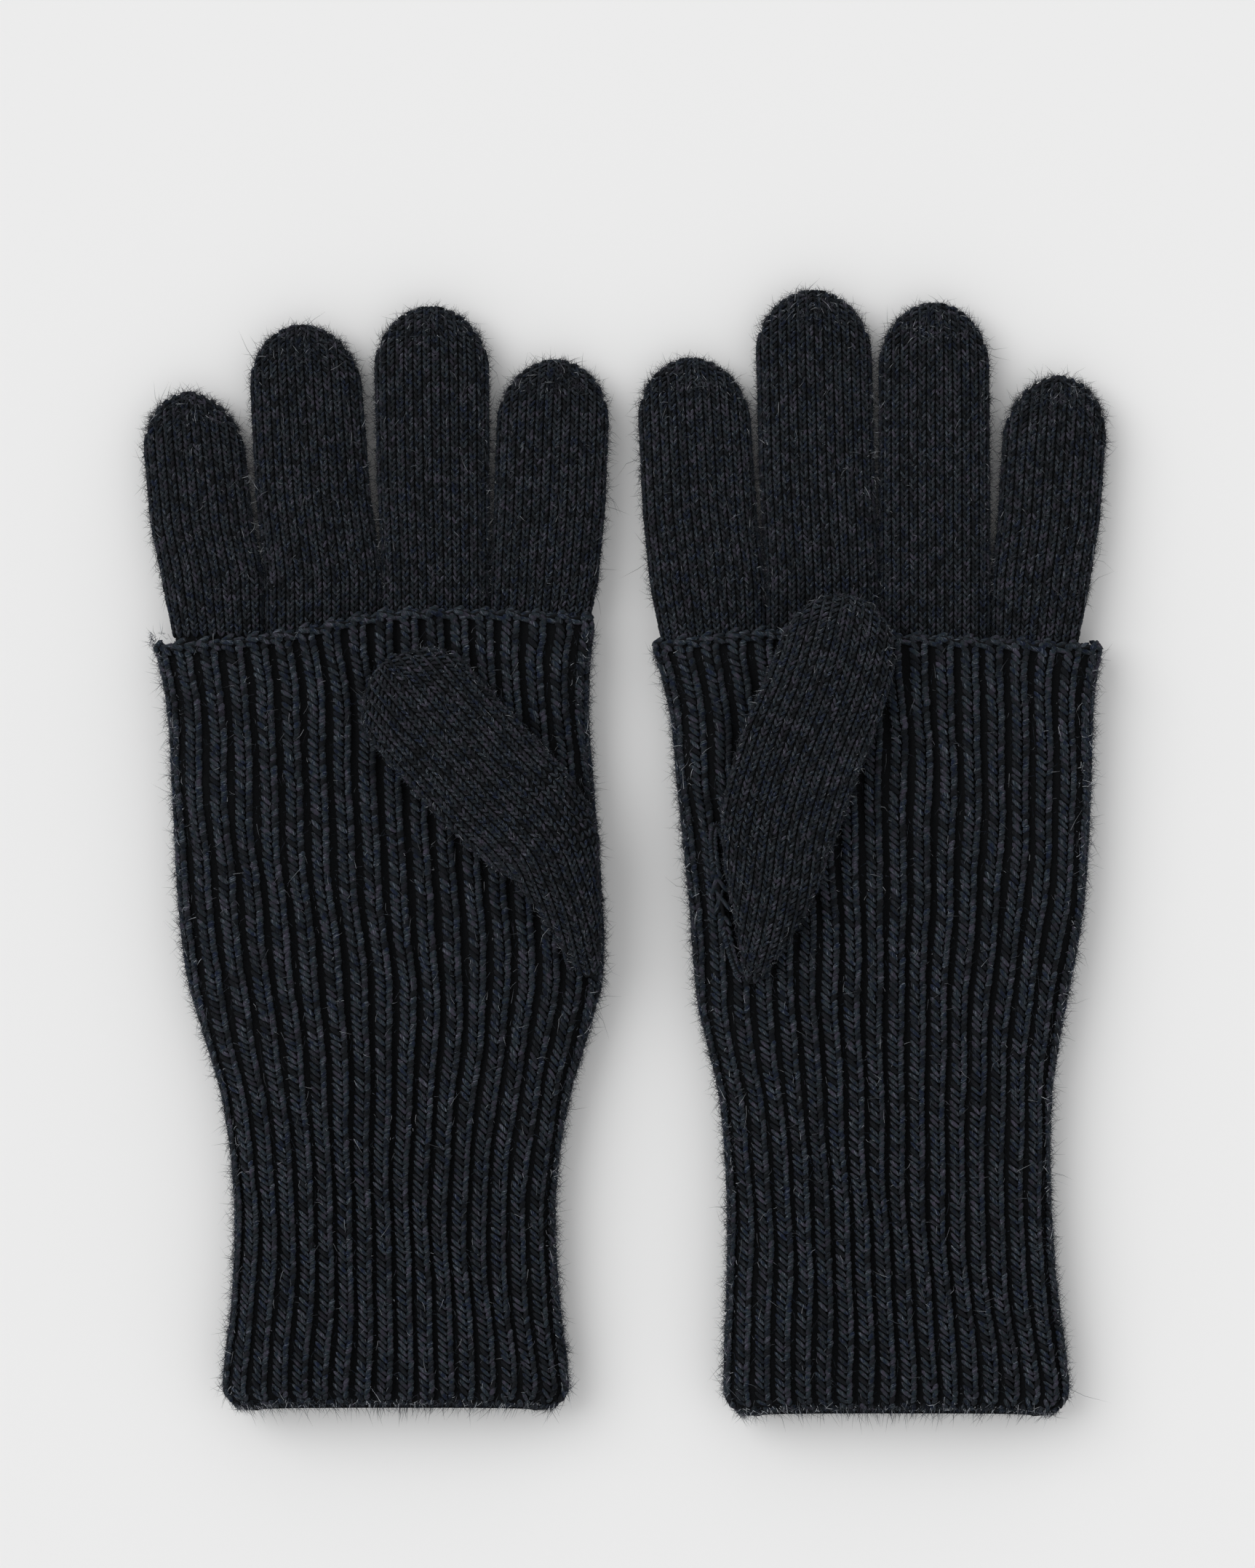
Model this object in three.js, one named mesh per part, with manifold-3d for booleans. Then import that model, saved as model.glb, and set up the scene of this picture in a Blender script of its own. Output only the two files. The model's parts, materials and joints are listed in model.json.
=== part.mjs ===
// A pair of two-in-one knitted gloves lying flat, palms up: in each, a fine five-finger glove
// worn inside a long ribbed sleeve that is open at the knuckles and slit for the thumb.
// Millimetres. +X to the right glove's thumb, +Y to the fingertips, +Z up off the palms.
import * as THREE from 'three';
import Module from 'manifold-3d';
import { mergeVertices } from 'three/addons/utils/BufferGeometryUtils.js';

const wasm = await Module();
wasm.setup();

// Fabric: the glove is plain knitting, the sleeve a thick rib.
const GLOVE_DEPTH = 9.6;    // both layers of the glove and the room for a hand between them
const GLOVE_WALL = 1.7;
const GLOVE_EDGE = 4;       // radius round the edge of a flattened tube
const THUMB_DEPTH = 8.6;
const THUMB_WALL = 1.7;
const SLEEVE_WALL = 3;
const SLEEVE_EDGE = 6;
const LIFT_PLAY = 0.5;      // room between glove and sleeve, above and below
const SIDE_PLAY = 1.8;      // and at each side
const GAP = 0.3;            // between pieces that touch
const CUT_REACH = 20;       // how far a tube runs on past its mouth before it is trimmed

// Heights in the stack, from the table up
const GLOVE_Z = SLEEVE_WALL + LIFT_PLAY;
const SLEEVE_DEPTH = GLOVE_DEPTH + 2 * (SLEEVE_WALL + LIFT_PLAY);
const THUMB_Z = SLEEVE_DEPTH + 0.4;
const TOP_Z = THUMB_Z + THUMB_DEPTH + 5;

// Distances up the arm from the sleeve's hem
const HEM_TOP = 7;
const FRONT_HEM_LIFT = 2.5; // the palm layer of the hem is this much shorter than the back
const CUFF = [38, 95];      // the glove's own rib cuff, hidden in the sleeve
const KNUCKLES = 204;       // where the finger stalls start
const EDGE_BAND = 5;        // cast-off band along the sleeve's open top
const FINGER_SET_OFF = 0.9; // room at the foot of a stall so that it can dip to the table
const FINGER_DIP = 2.4;     // how far a fingertip comes down to the table
const TIP_LENGTH = 16;      // the rounded end of a stall

// Thumb opening, measured along its fold line from the fold's foot
const GUSSET = [5, 42];
const GUSSET_WIDTH = 8;
const GUSSET_WALL = 1.3;
const GUSSET_PLAY = 1;
const SLIT = [0, 52];
const BINDING_WIDTH = 1.4;

// Each hand: u runs across the palm to the thumb side, v up the arm from the hem. The thumb lies
// folded over the palm about its fold line; its outline runs on past that line and is trimmed there.
const HANDS = {
  right: {
    thumbSide: 1,
    hem: [-56.1, -137.1],
    littleSide: [[-41.5, -30], [-42.8, 6], [-40.6, 25], [-39.7, 52], [-43.1, 79], [-51.3, 105.5],
      [-54, 130], [-55.8, 168], [-58, 182], [-59.8, 188.6], [-64, 225]],
    thumbEdge: [[41.5, -30], [42.8, 6], [40.6, 25], [39.2, 52], [43.1, 79], [51, 105.5],
      [50.6, 130], [47.6, 168], [48.1, 186], [48.6, 197], [52, 225]],
    topEdge: [[-70, 188.2], [-59.8, 188.6], [-30, 191.5], [-3, 196.8], [22, 197.3], [48.3, 196.3],
      [60, 196]],
    fingers: {
      little_finger: { foot: [-57, -32.4], tip: [-49.4, 250.7], width: 25.4 },
      ring_finger: { foot: [-31.7, -3.6], tip: [-22.1, 267.1], width: 27.9 },
      middle_finger: { foot: [-2.9, 22.7], tip: [8.7, 271.6], width: 28.6 },
      index_finger: { foot: [23.4, 49.3], tip: [38.4, 258.6], width: 27.9 },
    },
    fold: { foot: [36, 108], lean: 0 },
    thumb: [[56, 106], [62, 130], [52, 150], [38, 159.5], [26.2, 173], [17, 183.2], [4.5, 187.2],
      [-5, 181.5], [-6.2, 172], [-2.8, 161.4], [10.8, 146], [26.2, 132.5], [37.8, 118.6], [47, 105]],
  },
  left: {
    thumbSide: -1,
    hem: [66.6, -138.5],
    littleSide: [[-41.5, -30], [-42.6, 8], [-40, 28], [-38.1, 53], [-38.3, 80], [-41.9, 101.6],
      [-46.2, 125], [-48, 155], [-48.6, 172], [-49.9, 187], [-53, 225]],
    thumbEdge: [[41.5, -30], [42.6, 8], [41.9, 28], [41.6, 53], [43.7, 80], [49, 101.6],
      [50.8, 125], [54, 155], [55.6, 172], [59, 187], [66, 225]],
    topEdge: [[-60, 190], [-49.9, 190.4], [-12, 192.2], [31, 193.8], [59.2, 190.9], [70, 190.4]],
    fingers: {
      little_finger: { foot: [-47, -23.5], tip: [-38.9, 256.1], width: 25.7 },
      ring_finger: { foot: [-22.8, 3.8], tip: [-9.4, 273.9], width: 27.5 },
      middle_finger: { foot: [4.5, 31.5], tip: [20.1, 277], width: 28.8 },
      index_finger: { foot: [32.2, 60], tip: [49.4, 260.4], width: 27.9 },
    },
    fold: { foot: [29, 108], lean: 10 },
    thumb: [[52, 104], [60, 125], [58, 148], [45, 162], [36, 174], [30, 188], [22.5, 198],
      [11, 201.2], [2.4, 195.5], [0.8, 186], [2.4, 172], [12.6, 147.5], [25.5, 119], [36, 101]],
  },
};

const material = (color, roughness) => new THREE.MeshStandardMaterial({ color, roughness, metalness: 0 });
const PLAIN_KNIT = material('#1d2024', 0.95);
const RIB_KNIT = material('#1a1d21', 0.95);

// Solids: three.js makes the shapes, the boolean library joins and cuts them.
function solid(geometry) {
  const bare = geometry.index ? geometry.toNonIndexed() : geometry.clone();
  bare.deleteAttribute('normal');
  bare.deleteAttribute('uv');
  const welded = mergeVertices(bare, 1e-4);
  return new wasm.Manifold(new wasm.Mesh({
    numProp: 3,
    vertProperties: new Float32Array(welded.attributes.position.array),
    triVerts: new Uint32Array(welded.index.array),
  }));
}

function meshOf(name, shape, knit, foot = [0, 0, 0]) {
  const { vertProperties, triVerts } = shape.getMesh();
  const geometry = new THREE.BufferGeometry();
  geometry.setAttribute('position', new THREE.BufferAttribute(vertProperties, 3));
  geometry.setIndex(new THREE.BufferAttribute(triVerts, 1));
  geometry.translate(-foot[0], -foot[1], -foot[2]);
  geometry.computeVertexNormals();
  const mesh = new THREE.Mesh(geometry, knit.clone());
  mesh.name = name;
  mesh.position.set(...foot);
  return mesh;
}

// A flat outline given body: depth up from z, with its edge rounded, drawn in by inset.
function flattened(outline, z, depth, edge, inset = 0, bevelSegments = 2) {
  const geometry = new THREE.ExtrudeGeometry(new THREE.Shape(outline), {
    depth: depth - 2 * edge,
    bevelThickness: edge,
    bevelSize: edge,
    bevelOffset: -edge - inset,
    bevelSegments,
  });
  return solid(geometry.translate(0, 0, z + edge));
}

function prism(outline, z0, z1) {
  const extent = { depth: z1 - z0, bevelEnabled: false };
  return solid(new THREE.ExtrudeGeometry(new THREE.Shape(outline), extent).translate(0, 0, z0));
}

// A flattened tube of fabric: its outline given body and hollowed to leave the wall.
function fabricTube(outline, z, depth, wall, edge) {
  const hollow = flattened(outline, z + wall, depth - 2 * wall, edge - wall, wall, 1);
  return flattened(outline, z, depth, edge).subtract(hollow);
}

const vectors = (points, side) => points.map(([u, v]) => new THREE.Vector2(side * u, v));
const curve = (points, side, steps) => new THREE.SplineCurve(vectors(points, side)).getPoints(steps);

// Where a side line stands at height v
function acrossAt(line, v) {
  const above = line.findIndex((point) => point[1] >= v);
  const [u0, v0] = line[above - 1];
  const [u1, v1] = line[above];
  return u0 + ((u1 - u0) * (v - v0)) / (v1 - v0);
}

// The band of the arm between two heights, as a cutter
function between(side, low, high) {
  return prism(vectors([[-90, low], [90, low], [90, high], [-90, high]], side), -5, TOP_Z);
}

function underTopEdge(hand, from, drop) {
  const top = curve(hand.topEdge.map(([u, v]) => [u, v - drop]), hand.thumbSide, 20);
  const foot = vectors([[90, from], [-90, from]], hand.thumbSide);
  return prism([...top, ...foot], -5, TOP_Z);
}

// A point of the hand given across and along the thumb's fold line
function fromFold(hand, across, along) {
  const lean = THREE.MathUtils.degToRad(hand.fold.lean);
  const [u, v] = hand.fold.foot;
  return [
    u + across * Math.cos(lean) + along * Math.sin(lean),
    v - across * Math.sin(lean) + along * Math.cos(lean),
  ];
}

function slot(hand, [a, b], [low, high]) {
  const corner = (b - a) / 4;
  const outline = [[a + corner, low], [b - corner, low], [b, low + corner], [b, high - corner],
    [b - corner, high], [a + corner, high], [a, high - corner], [a, low + corner]];
  return vectors(outline.map(([across, along]) => fromFold(hand, across, along)), hand.thumbSide);
}

function sleeveParts(hand) {
  const side = hand.thumbSide;
  const outline = [...curve(hand.thumbEdge, side, 20), ...curve(hand.littleSide, side, 20).reverse()];
  const tube = fabricTube(outline, 0, SLEEVE_DEPTH, SLEEVE_WALL, SLEEVE_EDGE);

  const slit = (by) => slot(
    hand,
    [-GUSSET_PLAY - by, GUSSET_WIDTH + GUSSET_PLAY + by],
    [SLIT[0] - by, SLIT[1] + by],
  );
  const palmInside = SLEEVE_DEPTH - SLEEVE_WALL;
  const binding = prism(slit(BINDING_WIDTH), palmInside, SLEEVE_DEPTH)
    .subtract(prism(slit(0), palmInside - 1, SLEEVE_DEPTH + 1));
  const hole = prism(slit(BINDING_WIDTH + GAP), palmInside - 1, SLEEVE_DEPTH + 1);

  const shortFront = vectors([[-90, -20], [90, -20], [90, FRONT_HEM_LIFT], [-90, FRONT_HEM_LIFT]], side);
  const hem = tube.intersect(between(side, 0, HEM_TOP))
    .subtract(prism(shortFront, SLEEVE_DEPTH / 2, TOP_Z));
  const body = tube.intersect(underTopEdge(hand, HEM_TOP + GAP, EDGE_BAND + GAP)).subtract(hole);
  const band = tube.intersect(underTopEdge(hand, HEM_TOP, 0)).subtract(underTopEdge(hand, 0, EDGE_BAND));
  return { sleeve: body, sleeve_top_edge: band, sleeve_hem: hem, thumb_slit_binding: binding };
}

function handParts(hand) {
  const side = hand.thumbSide;
  const drawIn = SLEEVE_WALL + SIDE_PLAY;
  const feet = Object.values(hand.fingers).flatMap((finger) => finger.foot);
  const [leftFoot, rightFoot] = [Math.min(...feet), Math.max(...feet)];
  const heights = [CUFF[0] - CUT_REACH, CUFF[0], 55, 72, 86, CUFF[1], 108, 130, 150, 168];
  const edgeLine = (line, sign, foot, topV) => [
    ...heights.map((v) => [acrossAt(line, v) - sign * drawIn, v]),
    [acrossAt(line, topV) - sign * drawIn, topV],
    [foot - sign * 0.8, topV + 3],
    [foot, KNUCKLES],
    [foot, KNUCKLES + CUT_REACH],
  ];
  const thumbTop = acrossTop(hand, rightFoot);
  const littleTop = acrossTop(hand, leftFoot);
  const outline = vectors([
    ...edgeLine(hand.thumbEdge, 1, rightFoot, thumbTop),
    ...edgeLine(hand.littleSide, -1, leftFoot, littleTop).reverse(),
  ], side);
  const outer = flattened(outline, GLOVE_Z, GLOVE_DEPTH, GLOVE_EDGE);
  const inner = flattened(
    outline, GLOVE_Z + GLOVE_WALL, GLOVE_DEPTH - 2 * GLOVE_WALL, GLOVE_EDGE - GLOVE_WALL, GLOVE_WALL, 1,
  );

  const gusset = (by) => slot(hand, [by, GUSSET_WIDTH - by], [GUSSET[0] + by, GUSSET[1] - by]);
  const palmInside = GLOVE_Z + GLOVE_DEPTH - GLOVE_WALL;
  const collar = prism(gusset(0), palmInside + 0.5, SLEEVE_DEPTH);
  const mouth = prism(gusset(GUSSET_WALL), palmInside - 1, SLEEVE_DEPTH + 1);

  const whole = outer.add(collar).subtract(inner).subtract(mouth);
  return {
    glove_hand: whole.intersect(between(side, CUFF[1] + GAP, KNUCKLES - GAP)),
    glove_cuff: whole.intersect(between(side, CUFF[0], CUFF[1])),
  };
}

// Height of the sleeve's open edge at the side where a line of stalls ends
function acrossTop(hand, u) {
  const line = hand.topEdge;
  const next = line.findIndex((point) => point[0] >= u);
  return Math.max(line[next][1], line[next - 1][1]);
}

function fingerStall(hand, { foot, tip, width }) {
  const side = hand.thumbSide;
  const shoulder = tip[1] - TIP_LENGTH;
  const waist = KNUCKLES + 0.45 * (shoulder - KNUCKLES);
  const half = width / 2;
  const arcSteps = 8;
  const arc = [];
  for (let i = 0; i <= arcSteps; i += 1) {
    const turn = (Math.PI * i) / arcSteps;
    arc.push([tip[0] + half * Math.cos(turn), shoulder + TIP_LENGTH * Math.sin(turn)]);
  }
  const mid = (a, b) => a + (b - a) * 0.62;
  const outline = vectors([
    [foot[1], KNUCKLES - CUT_REACH], [foot[1], KNUCKLES], [mid(foot[1], tip[0] + half), waist],
    ...arc,
    [mid(foot[0], tip[0] - half), waist], [foot[0], KNUCKLES], [foot[0], KNUCKLES - CUT_REACH],
  ], side);
  const tube = fabricTube(outline, GLOVE_Z, GLOVE_DEPTH, GLOVE_WALL, GLOVE_EDGE);
  return tube.intersect(between(side, KNUCKLES + FINGER_SET_OFF, tip[1] + 5));
}

function thumbStall(hand) {
  const side = hand.thumbSide;
  const points = hand.thumb.map(([u, v]) => new THREE.Vector3(side * u, v, 0));
  const ring = new THREE.CatmullRomCurve3(points, true);
  const outline = ring.getPoints(30).slice(0, -1).map((point) => new THREE.Vector2(point.x, point.y));
  const tube = fabricTube(outline, THUMB_Z, THUMB_DEPTH, THUMB_WALL, GLOVE_EDGE);
  const palmward = [[-100, -60], [-GAP, -60], [-GAP, 140], [-100, 140]];
  const cutter = vectors(palmward.map(([across, along]) => fromFold(hand, across, along)), side);
  return tube.intersect(prism(cutter, 0, TOP_Z));
}

const pair = new THREE.Group();
for (const [handName, hand] of Object.entries(HANDS)) {
  const glove = new THREE.Group();
  const add = (piece, shape, knit, foot) => glove.add(meshOf(`${handName}_${piece}`, shape, knit, foot));

  for (const [piece, shape] of Object.entries(handParts(hand))) {
    add(piece, shape, PLAIN_KNIT);
  }
  for (const [piece, finger] of Object.entries(hand.fingers)) {
    const middle = (hand.thumbSide * (finger.foot[0] + finger.foot[1])) / 2;
    add(piece, fingerStall(hand, finger), PLAIN_KNIT, [middle, KNUCKLES, GLOVE_Z + GLOVE_DEPTH]);
    glove.children.at(-1).rotation.x = -Math.asin(FINGER_DIP / (finger.tip[1] - KNUCKLES));
  }
  add('thumb', thumbStall(hand), PLAIN_KNIT);
  for (const [piece, shape] of Object.entries(sleeveParts(hand))) {
    add(piece, shape, RIB_KNIT);
  }
  glove.position.set(hand.hem[0], hand.hem[1], 0);
  pair.add(glove);
}

export default pair;
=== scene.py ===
import json
import math

import bpy
import numpy as np
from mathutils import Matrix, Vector


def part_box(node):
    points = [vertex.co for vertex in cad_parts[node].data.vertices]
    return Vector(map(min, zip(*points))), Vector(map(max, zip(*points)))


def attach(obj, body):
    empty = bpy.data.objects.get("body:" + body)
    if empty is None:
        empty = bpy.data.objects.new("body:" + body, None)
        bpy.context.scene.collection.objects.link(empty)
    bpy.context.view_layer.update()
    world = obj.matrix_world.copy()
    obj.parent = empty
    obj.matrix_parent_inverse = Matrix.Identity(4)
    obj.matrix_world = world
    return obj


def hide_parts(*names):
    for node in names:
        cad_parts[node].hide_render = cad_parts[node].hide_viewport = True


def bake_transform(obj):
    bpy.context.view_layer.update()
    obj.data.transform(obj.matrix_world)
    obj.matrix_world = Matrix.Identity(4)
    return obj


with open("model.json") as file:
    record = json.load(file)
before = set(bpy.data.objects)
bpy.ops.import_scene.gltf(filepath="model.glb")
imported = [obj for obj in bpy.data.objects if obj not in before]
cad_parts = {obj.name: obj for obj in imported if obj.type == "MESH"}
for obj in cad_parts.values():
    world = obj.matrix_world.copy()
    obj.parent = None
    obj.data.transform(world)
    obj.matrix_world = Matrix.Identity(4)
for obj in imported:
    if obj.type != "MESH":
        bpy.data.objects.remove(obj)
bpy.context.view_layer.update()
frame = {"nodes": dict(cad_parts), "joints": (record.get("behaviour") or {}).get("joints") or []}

MM = 0.001
HANDS = ("right", "left")
FINGERS = ("little_finger", "ring_finger", "middle_finger", "index_finger")
rng = np.random.default_rng(41)

# Knitting, in millimetres
WALE = 2.35                # width of a plain stitch
PLAIN_ROW = 1.42
RIB_ROW = 1.58
RIBS = 9                   # ribs in a quarter of the way round a sleeve
GLOVE_POWER = 2.6          # how square the section of a flattened tube is
SLEEVE_POWER = 3.2
FINGER_TIP = 16
THUMB_TIP = 15
FINGER_ROOT = 22           # how far a stall runs on down inside the sleeve
RIB_DEPTH = 2.3            # from the crest of a rib to the floor of its furrow
SLEEVE_WALL = 3.0
GLOVE_WALL = 1.9
SLIT_HALF = 18.0
SLIT_WIDTH = 3.6
SLIT_SHIFT = {"right": (3.6, -6.0), "left": (4.5, -5.0)}
HEM_TOP = 7.3
HEM_CORNER = 7.5
EDGE_FLARE = 0.9           # how far the open edge stands out at the sides of the sleeve
FINGER_GROUND = 0.85       # how deep the plain knitting's ground lies under its stitches
CUFF_ROWS_SEEN = 12        # rows of the inner cuff that have their stitches

# Loose fibre, a little coarser than wool so that it shows
HALO_FIBRE = 0.11
LYING_FIBRE = 0.08
# painted light: the pale that thin fibres show where light shines through and on them
LIT_FIBRE_COLOUR = "#b4b8be"
LONG_FIBRES = 14

# One leg of a stitch: offset across the wale, lean and roll in degrees, then its length in rows and
# its width and thickness in shares of the wale
PLAIN_LEGS = ((-0.20, -23, -35, 1.65, 0.37, 0.42), (0.20, 23, 35, 1.65, 0.37, 0.42))
RIB_LEGS = ((-0.155, -44, -22, 2.25, 0.23, 0.22), (0.21, 25, 28, 1.60, 0.28, 0.23))

# The middle line of each folded thumb: across the palm, up the arm, height off the table, half width,
# half thickness, and how far its outer edge drops
THUMBS = {
    "right": ((47.9, 107.5, 15.2, 2.3, 1.6, 0.2), (46.2, 113, 16.6, 4.4, 2.6, 0.25),
              (43.5, 122.6, 18.2, 7.4, 3.5, 0.28), (40.6, 131.1, 19.6, 10.1, 4.0, 0.22),
              (37.5, 139.0, 20.6, 13.2, 4.2, 0.13), (31.4, 146.9, 21.2, 15.1, 4.3, 0.05),
              (24.4, 153.9, 21.3, 15.7, 4.3, 0), (10.5, 168.9, 21.3, 15.5, 4.2, 0),
              (2.2, 178.2, 21.2, 15.3, 4.1, 0), (-2.4, 183.5, 21.1, 15.2, 4.1, 0)),
    "left": ((35.6, 107, 15.6, 1.8, 1.6, 0.1), (34.8, 112, 16.9, 3.8, 2.6, 0.12),
             (33, 119, 18.6, 6.8, 3.5, 0.12), (30.9, 131, 20.4, 11.4, 4.1, 0.08),
             (29, 146, 21.2, 14.4, 4.3, 0.03), (24, 163, 21.3, 15.3, 4.3, 0),
             (18, 178, 21.2, 15.0, 4.2, 0), (14.6, 189, 21.1, 14.4, 4.1, 0),
             (12, 201.2, 21.0, 14.0, 4.0, 0)),
}


def linear(code):
    """A colour written as sRGB hex, in linear light."""
    parts = [int(code[i:i + 2], 16) / 255 for i in (1, 3, 5)]
    return [c / 12.92 if c <= 0.04045 else ((c + 0.055) / 1.055) ** 2.4 for c in parts] + [1.0]


def add_node(tree, kind, settings=None, **links):
    """A node with its settings; a link or a value is given for each input by name or number."""
    node = tree.nodes.new(kind)
    for name, value in (settings or {}).items():
        setattr(node, name, value)
    for name, value in links.items():
        key = int(name[1:]) if name[0] == "_" and name[1:].isdigit() else name.replace("_", " ")
        socket = node.inputs[key]
        if isinstance(value, bpy.types.NodeSocket):
            tree.links.new(value, socket)
        else:
            socket.default_value = value
    return node


# Wool. Carded and spun soft, dyed in the fleece: a near-black melange with navy, green and violet
# fibres in it, quite matt, with a faint halo of loose fibre that catches the light.
def wool(name, shaded_ground, tints, glint, fibre_bump):
    material = bpy.data.materials.new(name)
    material.use_nodes = True
    tree = material.node_tree
    tree.nodes.clear()
    place = add_node(tree, "ShaderNodeTexCoord").outputs["Object"]
    shade = add_node(tree, "ShaderNodeAttribute", {"attribute_name": "shade"}).outputs["Fac"]
    yarn = add_node(tree, "ShaderNodeAttribute", {"attribute_name": "yarn"}).outputs["Vector"]

    # Flocks of dyed fibre a few millimetres long
    flock = add_node(tree, "ShaderNodeTexNoise", Vector=place, Scale=420.0, Detail=3.0, Roughness=0.7)
    ramp = add_node(tree, "ShaderNodeValToRGB", Fac=flock.outputs["Fac"])
    ramp.color_ramp.elements[0].position = 0.39
    ramp.color_ramp.elements[0].color = linear(tints[0])
    ramp.color_ramp.elements[1].position = 0.63
    ramp.color_ramp.elements[1].color = linear(tints[2])
    middle = ramp.color_ramp.elements.new(0.5)
    middle.color = linear(tints[1])

    # Single pale fibres, drawn along the yarn
    streak = add_node(tree, "ShaderNodeTexNoise", Vector=yarn, Scale=1.0, Detail=2.0, Roughness=0.6)
    pale = add_node(tree, "ShaderNodeMapRange", {"clamp": True}, Value=streak.outputs["Fac"],
                    From_Min=0.57, From_Max=0.76, To_Min=0.0, To_Max=0.62)
    lit = add_node(tree, "ShaderNodeMix", {"data_type": "RGBA"}, _0=pale.outputs[0],
                   _6=ramp.outputs["Color"], _7=linear(glint))
    # shade 0 gives the near-black ground colour, painted shade for the gaps between the stitches; the legs'
    # own shades vary at random between it and the melange
    dark = add_node(tree, "ShaderNodeMix", {"data_type": "RGBA"}, _0=shade,
                    _6=linear(shaded_ground), _7=lit.outputs[2])

    # loose fibre is thin enough to let light through, so it looks paler than the yarn; that paleness is
    # painted light: shade values above 1 mix in a pale colour for light shining through and on the fibres
    lit_through_fibre = add_node(tree, "ShaderNodeMapRange", {"clamp": True}, Value=shade,
                    From_Min=1.0, From_Max=2.0, To_Min=0.0, To_Max=1.0)
    all_wool = add_node(tree, "ShaderNodeMix", {"data_type": "RGBA"}, _0=lit_through_fibre.outputs[0],
                        _6=dark.outputs[2], _7=linear(LIT_FIBRE_COLOUR))

    fibre = add_node(tree, "ShaderNodeBump", Height=streak.outputs["Fac"], Strength=fibre_bump,
                     Distance=0.00025)
    shader = add_node(tree, "ShaderNodeBsdfPrincipled", Base_Color=all_wool.outputs[2],
                      Normal=fibre.outputs["Normal"], Roughness=0.92, IOR=1.5,
                      Specular_IOR_Level=0.15, Sheen_Weight=0.05, Sheen_Roughness=0.6,
                      Sheen_Tint=linear("#8f97a6"))
    add_node(tree, "ShaderNodeOutputMaterial", Surface=shader.outputs["BSDF"])
    return material


# the first colour of each is the ground's, darker than any tint of the yarn: painted shade
PLAIN_WOOL = wool("plain knit wool melange", "#040506", ("#101728", "#1f2628", "#34313c"), "#828a96", 0.9)
RIB_WOOL = wool("ribbed wool melange", "#050608", ("#11192b", "#20292c", "#35323e"), "#878f9b", 0.9)


def vertices_of(node):
    mesh = frame["nodes"][node].data
    points = np.empty(len(mesh.vertices) * 3)
    mesh.vertices.foreach_get("co", points)
    edges = np.empty(len(mesh.edges) * 2, np.int32)
    mesh.edges.foreach_get("vertices", edges)
    return points.reshape(-1, 3) / MM, edges.reshape(-1, 2)


def sides(nodes, places, axis=1, across=0):
    """Lowest and highest coordinate of CAD nodes across each of several planes, in mm."""
    low, high = np.full(len(places), np.nan), np.full(len(places), np.nan)
    for node in nodes:
        points, edges = vertices_of(node)
        a, b = points[edges[:, 0]], points[edges[:, 1]]
        for n, place in enumerate(places):
            cut = (a[:, axis] - place) * (b[:, axis] - place) <= 0
            cut &= np.abs(a[:, axis] - b[:, axis]) > 1e-5
            if not cut.any():
                continue
            t = (place - a[cut, axis]) / (b[cut, axis] - a[cut, axis])
            x = a[cut, across] + t * (b[cut, across] - a[cut, across])
            low[n], high[n] = np.fmin(low[n], x.min()), np.fmax(high[n], x.max())
    known = ~np.isnan(low)
    order = np.arange(len(places))
    return (np.interp(order, order[known], low[known]), np.interp(order, order[known], high[known]))


def low_high(node):
    low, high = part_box(node)
    return np.array(low) / MM, np.array(high) / MM


def unit(v):
    return v / np.maximum(np.linalg.norm(v, axis=-1, keepdims=True), 1e-9)


def eased(points, steps=24):
    """A smooth run through a few rows of numbers."""
    p = np.array(points, float)
    p = np.vstack([2 * p[0] - p[1], p, 2 * p[-1] - p[-2]])
    t = np.linspace(0, 1, steps, endpoint=False)[:, None]
    runs = [0.5 * (2 * p[i] + (p[i + 1] - p[i - 1]) * t
                   + (2 * p[i - 1] - 5 * p[i] + 4 * p[i + 1] - p[i + 2]) * t**2
                   + (3 * p[i] - p[i - 1] - 3 * p[i + 1] + p[i + 2]) * t**3)
            for i in range(1, len(p) - 2)]
    return np.vstack(runs + [p[-2:-1]])


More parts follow.
